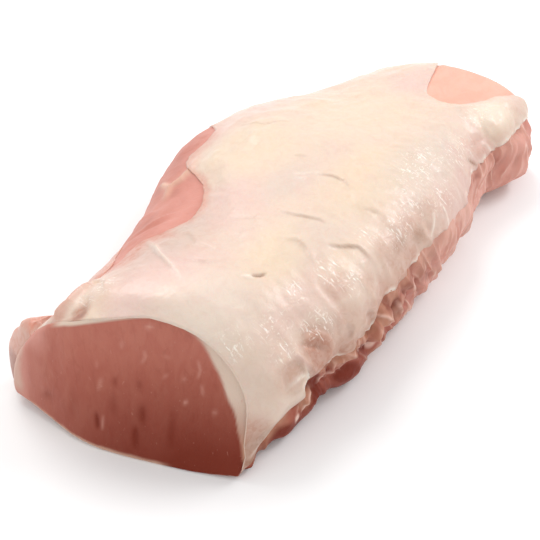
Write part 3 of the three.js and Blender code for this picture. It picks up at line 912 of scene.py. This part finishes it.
# Marks on the fat cap, by kind and tint: width, height, how strong the tint is, and path, in mm
FAT_MARKS = {
    # Painted shade at the foot of these folds' steep sides
    ("fold", "stain"): (
        (0.9, 0.7, 0.22, ((12, 42, 67), (14, 27, 73), (25, 14, 73))),
        (1.0, 0.9, 0.5, ((-14, -31, 76), (-11, -40, 76), (-11, -47, 76), (-13, -52, 75))),
        (1.0, 0.9, 0.45, ((-54, -34, 76), (-52, -42, 76), (-46, -54, 75), (-46, -58, 75))),
        (1.1, 1.2, 0.45, ((-59, -67, 72), (-54, -73, 71), (-48, -79, 69), (-48, -86, 65))),
        (1.8, 1.0, 0.15, ((-71, -48, 75), (-67, -54, 75), (-68, -60, 74), (-73, -67, 72))),
        (1.3, 1.2, 0.2, ((-105, 14, 65), (-112, 2, 72), (-118, -7, 76), (-126, -25, 80))),
        (1.5, 0.8, 0.14, ((-115, -19, 78), (-111, -27, 78), (-106, -33, 77))),
        (2.0, 1.0, 0.14, ((-92, -2, 74), (-98, -14, 76), (-97, -28, 77))),
    ),
    # Painted shade in the hollows of these creases
    ("crease", "stain"): (
        (0.9, 0.4, 0.25, ((-7, -11, 76), (-4, -18, 77))),
        (1.0, 0.4, 0.3, ((-22, -67, 72), (-19, -74, 70))),
        (1.2, 0.4, 0.1, ((-73, -16, 75), (-64, -30, 76))),
        (0.8, 1.3, 0.95, ((-104, -52, 76), (-101, -55, 76), (-98, -56, 75))),
        (1.2, 1.2, 0.8, ((80, -83, 53), (86, -87, 47))),
    ),
    ("ridge", "film"): (
        (0.8, 0.45, 0.4, ((-21, -20, 76), (-17, -27, 76), (-13, -31, 76))),
        (0.8, 0.45, 0.4, ((-25, -23, 76), (-20, -29, 76))),
        (1.1, 0.7, 0.9, ((-107, -49, 76), (-105, -53, 76))),
        (1.3, 0.8, 0.5, ((-105, 14, 65), (-112, 2, 72), (-118, -7, 76), (-126, -25, 80))),
        (0.9, 1.2, 0.9, ((13, -92, 57), (4, -98, 50))),
        (0.9, 1.3, 0.9, ((24, -93, 56), (22, -97, 41))),
        (1.3, 1.6, 0.7, ((103, -82, 51), (105, -87, 46), (105, -89, 38))),
        (0.9, 1.1, 0.9, ((-129, -91, 44), (-118, -92, 43), (-116, -93, 40), (-115, -93, 34))),
        (0.9, 1.0, 0.8, ((-118, -92, 43), (-120, -93, 38), (-122, -93, 32))),
        (0.9, 1.0, 0.8, ((-116, -93, 40), (-112, -93, 31), (-111, -93, 26))),
        (1.1, 1.0, 0.8, (
            (-152, -91, 12), (-142, -90, 11), (-136, -91, 15), (-129, -92, 18), (-118, -92, 25),
        )),
    ),
    # Painted shade: these creases are darkened in their hollows
    ("crease", "lean"): (
        (1.4, 1.6, 0.7, ((110, -85, 46), (112, -88, 38))),
        (1.9, 1.0, 0.5, ((-170, 3, 72), (-167, 1, 74), (-164, 1, 75))),
    ),
    ("ridge", "pink"): (
        (1.8, 1.8, 0.9, ((-119, -87, 53), (-115, -92, 46), (-109, -93, 38), (-106, -93, 32))),
    ),
    # Partly painted shade: these creases are darker in their hollows, below the finger ridge and beside a
    # lobe
    ("crease", "flesh"): (
        (1.6, 2.0, 0.9, ((-110, -87, 53), (-104, -91, 50), (-99, -94, 44))),
        (2.4, 2.2, 0.55, ((-174, 10, 64), (-171, 5, 69), (-167, 2, 73), (-160, 3, 74))),
    ),
    ("ridge", "thin"): (
        (2.8, 4.2, 0.7, ((-174, 17, 59), (-171, 14, 65), (-163, 12, 70), (-154, 13, 70), (-144, 15, 68))),
    ),
    ("fold", "cream"): (
        (1.8, 1.3, 0.6, ((-147, 25, 56), (-144, 17, 64), (-145, 6, 73), (-152, -2, 77))),
    ),
}

# Tints of the cap, by mask: strength, centre, reach along the loin and across, in mm
FAT_ZONES = {
    "cream": (
        (0.9, (6, -56, 75), 44, 20), (0.9, (-84, -51, 75), 22, 15), (0.8, (-8, 18, 73), 34, 30),
        (0.7, (66, -10, 68), 44, 36), (0.6, (-64, -76, 69), 20, 8), (0.9, (124, -76, 56), 18, 12),
        (0.9, (-161, -9, 76), 10, 7),
    ),
    "pink": (
        (0.8, (-64, -8, 75), 24, 20), (1.0, (-124, -14, 79), 28, 20), (1.0, (-150, -16, 78), 18, 13),
        (0.9, (130, -16, 62), 20, 14), (0.6, (30, 56, 60), 50, 20), (0.5, (-96, -76, 66), 30, 9),
    ),
    "thin": (
        (0.3, (-118, 8, 72), 26, 9), (0.65, (-168, 14, 66), 9, 5), (0.5, (-156, 13, 69), 10, 4),
        (0.6, (-124, 17, 63), 13, 9),
    ),
    "ash": (
        # The oval at x 38 on the far shoulder stands in partly for the grey-lavender sheen there, painted
        # sheen; the others are grey tone
        (0.3, (-58, -62, 74), 24, 14), (0.7, (38, -68, 68), 42, 16), (0.4, (-134, -56, 73), 20, 16),
        (0.5, (-30, -22, 76), 18, 10), (0.7, (-104, 4, 73), 24, 14),
    ),
    "flesh": (
        (1.0, (-104, -91, 45), 11, 13), (0.55, (-125, -90, 47), 8, 7), (0.3, (-25, -90, 60), 24, 9),
        (0.4, (-84, -94, 50), 12, 9), (0.5, (-56, -100, 44), 14, 8), (0.5, (98, -82, 50), 11, 9),
        # The first two ovals of this line, at the near corner's foot, are painted shade; the others are
        # flesh-toned lobes and edges
        (0.95, (-163, -84, 6), 20, 24), (0.75, (-154, -83, 24), 12, 15), (0.5, (-10, -89, 60), 9, 7),
        (0.45, (-36, -88, 62), 8, 7), (0.4, (-76, -84, 64), 9, 6), (0.35, (12, -88, 59), 8, 6),
        (0.1, (-112, -80, 60), 22, 8), (0.95, (-167, 2, 73), 6, 4.5),
    ),
    # Painted shade: a broad darker area on the top towards the near end, and two dark spots low on the chine
    # edge
    "stain": (
        (0.19, (-104, 2, 74), 36, 19), (0.4, (-24, -91, 59), 6, 4), (0.4, (-6, -94, 56), 5, 4),
    ),
    "film": (
        (0.12, (-158, -24, 76), 16, 16), (0.3, (-138, -46, 73), 24, 20), (0.4, (124, -74, 57), 16, 11),
    ),
    # Painted highlights: ovals where bright glint strokes are laid on the wet shoulder
    "glint": (
        (1.0, (-71, -77, 69), 8, 7), (0.9, (-68, -86, 64), 8, 7), (0.9, (-94, -71, 69), 7, 6),
        (0.9, (-97, -86, 55), 10, 8), (0.9, (-116, -74, 65), 9, 8), (0.8, (-137, -67, 66), 7, 7),
        (0.8, (-122, -84, 58), 8, 6), (0.8, (-38, -78, 69), 8, 7), (0.8, (-18, -86, 64), 14, 8),
        (0.9, (6, -82, 65), 10, 9), (1.0, (34, -70, 69), 22, 11), (0.8, (30, -88, 58), 16, 8),
        (0.8, (70, -76, 60), 22, 10), (0.7, (118, -66, 58), 14, 8), (0.7, (-150, 3, 74), 10, 8),
    ),
}
ROLL_FINE = 8
FAT_MASKS = ("cream", "pink", "ash", "flesh", "stain", "film", "thin", "lean", "glint")


def rounded_start(skin, reach):
    """The fat's cut edge is rounded over, so that it is thin where it meets the near face."""
    return np.sin(np.pi / 2 * np.clip(skin.row * ROW_LENGTH / reach, 0, 1))


def cap_thickness(skin):
    x, y = skin.x, skin.y
    across = cap_share(skin.step)
    lip = np.sqrt(rise(-0.02, 0.13, across))
    feather = rise(0, 0.22, 1 - across)
    far_taper = 0.5 - 0.44 * patch_share(across)
    far_taper = far_taper + (1 - far_taper) * rise(0, 0.07, 1 - skin.row / ALONG)
    full = CAP_CHINE + (CAP_BELLY - CAP_CHINE) * rise(0.1, 0.75, across)
    lumps = CAP_UNEVEN * noise(x / 33, y / 30 + 5)
    flaps = FLAP_DEPTH * noise(x / 15 + 3, across * 5) * (1 - rise(0.1, 0.3, across))
    body = (full + lumps + flaps * rise(0, 0.05, across)) * far_taper
    hem = 0.5 + (CAP_LIP - 0.5) * np.maximum(rise(-0.1, 0.6, noise(x / 13, 6.5)), rise(-112, -122, x))
    edge = hem + (CAP_FEATHER - hem) * rise(0.3, 0.7, across)
    plain_sheet = edge + np.maximum(0, body - edge) * lip * feather
    return np.maximum(0.05, plain_sheet * rounded_start(skin, 20) + cap_relief(skin, across))


def cap_relief(skin, across):
    """Folds, creases and wrinkles of the cap."""
    x, y, z = skin.x, skin.y, skin.z
    inside = rise(0, 0.05, across) * rise(0, 0.06, 1 - across) * rise(0, 0.4, skin.row)
    shoulder = (1 - rise(0.16, 0.42, across)) * rise(0.0, 0.06, across)
    height = 0.42 * rough(x / 18 + 9, y / 14)
    height = height + shoulder * (0.9 * rough(x / 9, (y - z) / 8, 2) + 0.25 * noise(x / 3.4, (y - z) / 3))
    height = height + 0.22 * noise(x / 7 + 5, y / 5) + 0.1 * noise(x / 3, y / 3.5)
    return (height + lay_marks(skin, FAT_MARKS, FAT_MASKS)[0]) * inside


def roll_thickness(skin):
    across = roll_share(skin.step)
    arch = np.sqrt(np.maximum(0, 1 - (2 * across**1.4 - 1) ** 2))  # fullest below its middle
    lumps = 0.7 * rough(skin.x / 7, skin.angle / 9) * arch
    lip = 0.3 + (CAP_FEATHER - 0.3) * (1 - rise(-165, -150, skin.x))
    ending = 1 - rise(0.6, 0.97, skin.row / ROLL_STEPS)
    knob = knob_size(skin.x) * np.sqrt(np.maximum(0, 1 - ((across - 0.2) / 0.22) ** 2))
    body = lip + (roll_size(skin.x) - lip) * arch * ending
    body = np.maximum(body * rounded_start(skin, 9) ** 0.7, knob * rounded_start(skin, 6) ** 0.6)
    return 0.05 + body + lumps * ending * rise(0, 0.5, skin.row)


def cap_piece(material):
    rows = np.arange(ALONG * ROWS_PER_STEP + 1) / ROWS_PER_STEP
    steps = BANDS["chine"] + np.arange(BANDS["cap"] * ROWS_PER_STEP + 1) / ROWS_PER_STEP
    return closed_sheet("fat_cap_skin", rows, steps, cap_thickness, cap_masks, material, ROWS_PER_STEP)


def cap_masks(skin):
    """Colour masks of the cap."""
    x, z = skin.x, skin.z
    across = cap_share(skin.step)
    _, masks = lay_marks(skin, FAT_MARKS, FAT_MASKS)
    lay_zones(masks, skin, FAT_ZONES, 0.6)
    # Painted shade: the near corner of the chine side is darker towards the bottom
    near_corner = (1 - rise(-142, -118, x)) * (1 - rise(0.05, 0.2, across))
    at_least(masks, "stain", 0.6 * near_corner * (1 - rise(12, 34, z)))
    at_least(masks, "thin", cap_thin(skin, across))
    ragged = across + 0.05 * rough(x / 10, z / 8)
    near_side = rise(-135, -112, x) * (1 - rise(-20, 30, x))
    at_least(masks, "flesh", (1 - rise(-0.02, 0.14, ragged)) * (0.3 + 0.6 * near_side))
    far_side = rise(-10, 40, x) * (1 - rise(104, 112, x))
    at_least(masks, "pink", far_side * (1 - rise(0.02, 0.13, ragged)))
    rim = (1 - rise(0.004, 0.016, across)) * rise(0.1, 0.5, noise(x / 6, 3.3))
    at_least(masks, "film", 0.7 * rim * rise(-110, -100, x))
    return masks


def cap_thin(skin, across):
    """Where the lean shows through the fat: along its belly border, and the edge of the bare patch."""
    x, y = skin.x, skin.y
    edge = 1 - rise(0.0, 0.07, 1 - across + 0.02 * rough(x / 9, y / 9))
    strip = rise(-142, -128, x) * (1 - rise(-100, -88, x)) * (1 - rise(0.02, 0.19, 1 - across))
    middle = rise(-110, -60, x) * (1 - rise(-10, 40, x))
    return np.clip(0.75 * edge * (0.3 + 0.7 * middle) + strip, 0, 1)


def roll_masks(skin):
    """Colour masks of the side fat, which thins out raggedly away from the near cut."""
    x, z = skin.x, skin.z
    masks = no_masks(x.shape, FAT_MASKS)
    # Painted shade: the low end of the side fat at the near cut is darkened
    masks["lean"] = 0.5 * zone(skin, (-184, 50, 18), 6, 15, 0.3)
    across = roll_share(skin.step)
    ragged = rough(x / 12 + 4, skin.angle / 9)
    inside = rise(0.0, 0.3, across + 0.1 * ragged) * rise(0.0, 0.35, 1 - across + 0.12 * ragged)
    inside = inside * (1 - rise(-142, -120, x + 12 * ragged))
    near_end = (1 - rise(-164, -146, x)) * (0.8 + 0.2 * rough(x / 7, z / 7))
    masks["thin"] = np.maximum(near_end, 1 - inside)
    masks["pink"] = np.clip(0.4 + 0.4 * rough(x / 9, z / 9), 0, 1)
    masks["flesh"] = 0.2 + 0.1 * rise(-165, -145, x)
    return masks


def roll_piece(material):
    rows = np.arange(ROLL_STEPS * ROLL_FINE + 1) / ROLL_FINE
    steps = ROLL_FIRST + np.arange(BANDS["roll"] * ROLL_FINE + 1) / ROLL_FINE
    return closed_sheet("side_fat", rows, steps, roll_thickness, roll_masks, material, ROLL_FINE)


# ---- Materials ----

class Paint:
    """A material whose colour is laid down layer by layer."""

    def __init__(self, name, colour, roughness, coat, scatter):
        self.material = bpy.data.materials.new(name)
        self.material.use_nodes = True
        self.tree = self.material.node_tree
        self.shader = self.tree.nodes["Principled BSDF"]
        self.colour = colour
        self.bump = None
        self.shader.inputs["Roughness"].default_value = roughness
        self.shader.inputs["Coat Weight"].default_value = coat
        self.shader.inputs["Coat Roughness"].default_value = 0.16
        self.shader.inputs["Subsurface Weight"].default_value = scatter
        self.shader.inputs["Subsurface Radius"].default_value = (1.0, 0.42, 0.25)
        self.shader.inputs["Subsurface Scale"].default_value = 0.004
        self.place = self.tree.nodes.new("ShaderNodeTexCoord").outputs["Object"]

    def node(self, kind, **inputs):
        made = self.tree.nodes.new("ShaderNode" + kind)
        for name, value in inputs.items():
            self.put(made.inputs[name.replace("_", " ")], value)
        return made

    def put(self, socket, value):
        if isinstance(value, bpy.types.NodeSocket):
            self.tree.links.new(value, socket)
        else:
            socket.default_value = value

    def mask(self, name):
        made = self.tree.nodes.new("ShaderNodeAttribute")
        made.attribute_name = name
        return made.outputs["Fac"]

    def noise(self, size, stretch=(1, 1, 1), detail=3, warp=0.0):
        """Noise with lumps of so many millimetres, stretched along each axis."""
        mapping = self.node("Mapping", Vector=self.place)
        mapping.inputs["Scale"].default_value = [1 / (size * MM * s) for s in stretch]
        made = self.node("TexNoise", Vector=mapping.outputs["Vector"], Scale=1.0, Detail=float(detail))
        made.inputs["Distortion"].default_value = warp
        return made.outputs["Fac"]

    def between(self, value, low, high, to_low=0.0, to_high=1.0):
        made = self.node("MapRange", Value=value)
        made.interpolation_type = "SMOOTHSTEP"
        for name, number in (("From Min", low), ("From Max", high), ("To Min", to_low), ("To Max", to_high)):
            made.inputs[name].default_value = number
        return made.outputs["Result"]

    def combine(self, operation, a, b):
        made = self.tree.nodes.new("ShaderNodeMath")
        made.operation = operation
        self.put(made.inputs[0], a)
        self.put(made.inputs[1], b)
        return made.outputs[0]

    def times(self, a, b):
        return self.combine("MULTIPLY", a, b)

    def lay(self, colour, amount):
        """Lays a colour over the last, as much as amount says."""
        mix = self.tree.nodes.new("ShaderNodeMix")
        mix.data_type = "RGBA"
        below = self.colour
        self.put(mix.inputs[0], amount)
        self.put(mix.inputs[6], below if isinstance(below, bpy.types.NodeSocket) else (*below, 1))
        mix.inputs[7].default_value = (*colour, 1)
        self.colour = mix.outputs[2]

    def lay_masks(self, layers):
        """Lays the colour of each mask over the last, as strongly as it says."""
        for mask, colour, strength in layers:
            self.lay(colour, self.times(self.mask(mask), strength))

    def rough_up(self, height, depth):
        """Adds bumps so many millimetres deep."""
        made = self.node("Bump", Height=height, Distance=depth * MM)
        if self.bump is not None:
            self.tree.links.new(self.bump, made.inputs["Normal"])
        self.bump = made.outputs["Normal"]

    def finish(self):
        self.tree.links.new(self.colour, self.shader.inputs["Base Color"])
        if self.bump is not None:
            self.tree.links.new(self.bump, self.shader.inputs["Normal"])
            self.tree.links.new(self.bump, self.shader.inputs["Coat Normal"])
        return self.material


FAT_COLOUR = (0.69, 0.535, 0.435)

# Colours of the masks, from the lowest layer up: mask, colour and strength
FAT_LAYERS = (
    ("cream", (0.745, 0.585, 0.42), 0.75),
    ("pink", (0.70, 0.475, 0.425), 0.75),
    # Also stands in for the grey-lavender sheen on the far shoulder: partly painted sheen
    ("ash", (0.58, 0.49, 0.43), 0.6),
    # Also painted shade at the near corner's foot and in some creases
    ("flesh", (0.45, 0.215, 0.145), 1.0),
    ("thin", (0.60, 0.27, 0.20), 1.0),
    # Painted shade at the feet of folds, in creases, at the near corner's foot and on a few darker spots
    ("stain", (0.27, 0.12, 0.065), 1.0),
    ("film", (0.84, 0.74, 0.64), 1.0),
    # Also painted shade in dark creases and at the side fat's low end
    ("lean", (0.16, 0.03, 0.02), 1.0),
)
LEAN_LAYERS = (
    # Painted shade where light falls off or is blocked, together with the near face's own dark grain marks
    ("deep", (0.16, 0.014, 0.002), 0.92),
    ("blush", (0.66, 0.305, 0.25), 0.85),
    # Also painted shade on the near face's fat rind, darker towards the bottom
    ("tan", (0.48, 0.225, 0.145), 1.0),
    ("film", (0.80, 0.54, 0.45), 1.0),
    ("silver", (0.72, 0.48, 0.36), 1.0),
    ("patch", (0.80, 0.43, 0.335), 1.0),
)


def fat_material():
    paint = Paint("fat", FAT_COLOUR, 0.42, 0.18, 0.15)
    paint.shader.inputs["Specular IOR Level"].default_value = 0.35
    paint.lay((0.70, 0.48, 0.42), paint.times(paint.between(paint.noise(19, warp=0.6), 0.42, 0.7), 0.3))
    paint.lay((0.73, 0.58, 0.44), paint.times(paint.between(paint.noise(31, warp=0.4), 0.5, 0.7), 0.3))
    paint.lay_masks(FAT_LAYERS)
    blots = paint.between(paint.noise(8, warp=1.0), 0.5, 0.68)
    paint.lay((0.64, 0.45, 0.38), paint.times(blots, 0.2))
    wisps = paint.between(paint.noise(5, (1, 1, 1), 5, 1.4), 0.45, 0.5)
    paint.lay((0.80, 0.69, 0.60), paint.times(wisps, 0.1))
    # Painted highlights: short bright strokes in the glint ovals stand in for glints of the wet membrane
    strokes = paint.between(paint.noise(1.5, (0.8, 3.4, 3.0), 3, 1.0), 0.57, 0.68)
    dashes = paint.times(paint.between(paint.noise(1.7, (2.2, 1.0, 1.4), 3, 1.4), 0.6, 0.68), 0.7)
    painted_glints = paint.times(paint.combine("MAXIMUM", strokes, dashes), paint.mask("glint"))
    paint.lay((0.97, 0.91, 0.83), paint.times(painted_glints, 0.85))
    paint.rough_up(paint.noise(4.5, (1.6, 1, 1), 4, 0.8), 0.3)
    paint.rough_up(paint.noise(1.4, detail=2), 0.06)
    return paint.finish()


def lean_material():
    paint = Paint("lean", (0.45, 0.135, 0.094), 0.45, 0.05, 0.1)
    paint.shader.inputs["Specular IOR Level"].default_value = 0.12
    blotches = paint.between(paint.noise(7, (1, 1, 3), 3, 0.8), 0.36, 0.66)
    paint.lay((0.495, 0.170, 0.118), paint.times(blotches, 0.6))
    fibres = paint.between(paint.noise(3.2, (1, 1, 4), 4, 0.9), 0.5, 0.7)
    paint.lay((0.31, 0.075, 0.05), paint.times(fibres, 0.22))
    paint.lay_masks(LEAN_LAYERS)
    mottling = paint.between(paint.noise(13, (1.5, 1, 1), 4, 0.9), 0.42, 0.66)
    paint.lay((0.76, 0.36, 0.27), paint.times(paint.times(mottling, paint.mask("patch")), 0.45))
    paint.lay(FAT_COLOUR, paint.mask("rind"))
    flecks = paint.between(paint.noise(1.6, (1, 1, 2), 2, 0.4), 0.68, 0.76)
    paint.lay((0.55, 0.25, 0.19), paint.times(flecks, 0.3))
    paint.rough_up(paint.noise(2.6, (1, 1, 3), 4, 0.6), 0.25)
    paint.rough_up(paint.noise(0.9, detail=2), 0.06)
    return paint.finish()


def plain(name, colour, roughness):
    material = bpy.data.materials.new(name)
    material.use_nodes = True
    shader = material.node_tree.nodes["Principled BSDF"]
    shader.inputs["Base Color"].default_value = (*colour, 1)
    shader.inputs["Roughness"].default_value = roughness
    return material


# ---- Floor, light and camera ----

CAMERA_TARGET = Vector((-0.02762, -0.00102, 0))
CAMERA_TURN = 54.3  # degrees that the view is turned from +Y towards +X
CAMERA_RISE = 42
CAMERA_DISTANCE = 0.527
CAMERA_ANGLE = 35


def view_axes():
    """The view's right, level forward and up."""
    turn = math.radians(CAMERA_TURN)
    right = Vector((math.cos(turn), -math.sin(turn), 0))
    forward = Vector((math.sin(turn), math.cos(turn), 0))
    return right, forward, Vector((0, 0, 1))


def make_camera():
    _, forward, up = view_axes()
    rise_angle = math.radians(CAMERA_RISE)
    back = up * math.sin(rise_angle) - forward * math.cos(rise_angle)
    data = bpy.data.cameras.new("camera")
    data.sensor_width = 36
    data.lens = data.sensor_width / 2 / math.tan(math.radians(CAMERA_ANGLE / 2))
    data.clip_start = 0.01
    camera = bpy.data.objects.new("camera", data)
    camera.location = CAMERA_TARGET + back * CAMERA_DISTANCE
    camera.rotation_euler = (-back).to_track_quat("-Z", "Y").to_euler()
    bpy.context.scene.collection.objects.link(camera)
    bpy.context.scene.camera = camera


def make_light(name, side, depth, height, distance, size, power, colour=(1, 1, 1)):
    """A soft box, placed by how far it is to the view's right, away from the camera and up."""
    right, forward, up = view_axes()
    away = (right * side + forward * depth + up * height).normalized()
    data = bpy.data.lights.new(name, "AREA")
    data.shape = "DISK"
    data.size = size
    data.energy = power
    data.color = colour
    light = bpy.data.objects.new(name, data)
    light.location = away * distance
    light.rotation_euler = away.to_track_quat("Z", "Y").to_euler()
    bpy.context.scene.collection.objects.link(light)


def make_floor():
    mesh = bpy.data.meshes.new("floor")
    half = 3.0
    corners = [(-half, -half, 0), (half, -half, 0), (half, half, 0), (-half, half, 0)]
    mesh.from_pydata(corners, [], [(0, 1, 2, 3)])
    mesh.materials.append(plain("floor_white", (0.93, 0.93, 0.93), 0.9))
    floor = bpy.data.objects.new("floor", mesh)
    bpy.context.scene.collection.objects.link(floor)


def make_stage():
    scene = bpy.context.scene
    world = bpy.data.worlds.new("studio")
    world.use_nodes = True
    world.node_tree.nodes["Background"].inputs["Color"].default_value = (1, 1, 1, 1)
    world.node_tree.nodes["Background"].inputs["Strength"].default_value = 0.84
    scene.world = world
    scene.view_settings.view_transform = "Standard"
    make_floor()
    make_light("key", -0.3, 0.5, 0.9, 1.6, 0.9, 11, (1, 0.985, 0.97))
    make_light("rim", 0.64, 0.28, 0.69, 1.4, 0.5, 6, (0.97, 0.97, 1))


make_camera()
make_stage()
fat = fat_material()
meat = lean_material()
lean = lean_piece(meat)
tear_piece(meat)
cap = cap_piece(fat)
side = roll_piece(fat)
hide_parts("loin_muscle")
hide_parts("fat_cap")
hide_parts("side_fat_roll")
